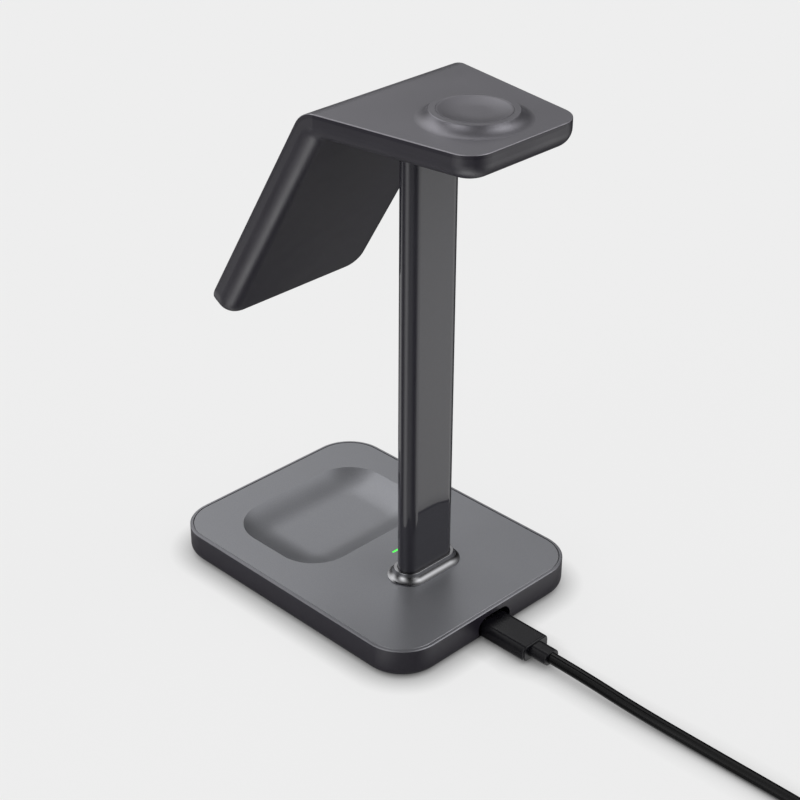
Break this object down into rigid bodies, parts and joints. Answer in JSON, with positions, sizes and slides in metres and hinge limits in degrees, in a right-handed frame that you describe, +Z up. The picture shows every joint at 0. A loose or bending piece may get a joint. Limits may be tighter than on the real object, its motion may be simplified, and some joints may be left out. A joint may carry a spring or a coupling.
{
  "type": "three in one wireless charger",
  "caption": "Upright desk charger: weighted base with an earbud tray, glossy oval column, and a folded head with a sloping phone panel and a watch ring; power lead plugged in behind.",
  "frame": {"origin": "on the desk, under the middle of the base, in the plane of the foot pad's underside", "axes": "+Z up the column, -Y towards the phone side, +Y towards the power lead, +X to the right seen from the phone side"},
  "size_m": [0.104, 0.3526, 0.1864],
  "materials": {
    "base_black": "satin moulded",
    "lid_grey": "fine bead-blasted satin",
    "column_gloss": "gloss lacquer",
    "collar_dark": "polished dark nickel",
    "grip_soft": "soft matt",
    "foot_soft": "matt, slightly tacky",
    "puck_grey": "smooth",
    "steel": "zinc plated",
    "plug_steel": "bright drawn",
    "copper": "enamelled wire",
    "ferrite": "pressed powder",
    "board": "solder-masked",
    "chip_black": "moulded",
    "magnet": "nickel plated",
    "ribbon": "amber film",
    "light_green": "clear, lit green",
    "lead_black": "satin"
  },
  "bodies": {
    "root": {"base_housing": "base_black", "head_shell": "base_black", "base_lid": "lid_grey", "head_cover": "lid_grey", "column_tube": "column_gloss", "column_collar": "collar_dark", "grip_pad": "grip_soft", "foot_pad": "foot_soft", "watch_puck": "puck_grey", "ballast_plate": "steel", "column_foot": "steel", "column_head": "steel", "foot_screws": "steel", "head_screws": "steel", "base_screws": "steel", "main_board_screws": "steel", "watch_board_screws": "steel", "phone_board_screws": "steel", "socket_shell": "plug_steel", "plug_tip": "plug_steel", "far_plug_tip": "plug_steel", "earbud_coil": "copper", "watch_coil": "copper", "phone_coil": "copper", "earbud_ferrite": "ferrite", "watch_ferrite": "ferrite", "phone_ferrite": "ferrite", "main_board": "board", "watch_board": "board", "phone_board": "board", "main_board_parts": "chip_black", "watch_board_parts": "chip_black", "phone_board_parts": "chip_black", "socket_tongue": "chip_black", "phone_magnets": "magnet", "watch_magnet": "magnet", "column_ribbon": "ribbon", "phone_lead": "ribbon", "light_pipe": "light_green", "light_chip": "light_green", "plug_grip": "lead_black", "plug_sleeve": "lead_black", "far_plug_grip": "lead_black", "far_plug_sleeve": "lead_black", "cord_run": "lead_black", "cord_coil": "lead_black", "cord_tail": "lead_black"}
  },
  "joints": []
}
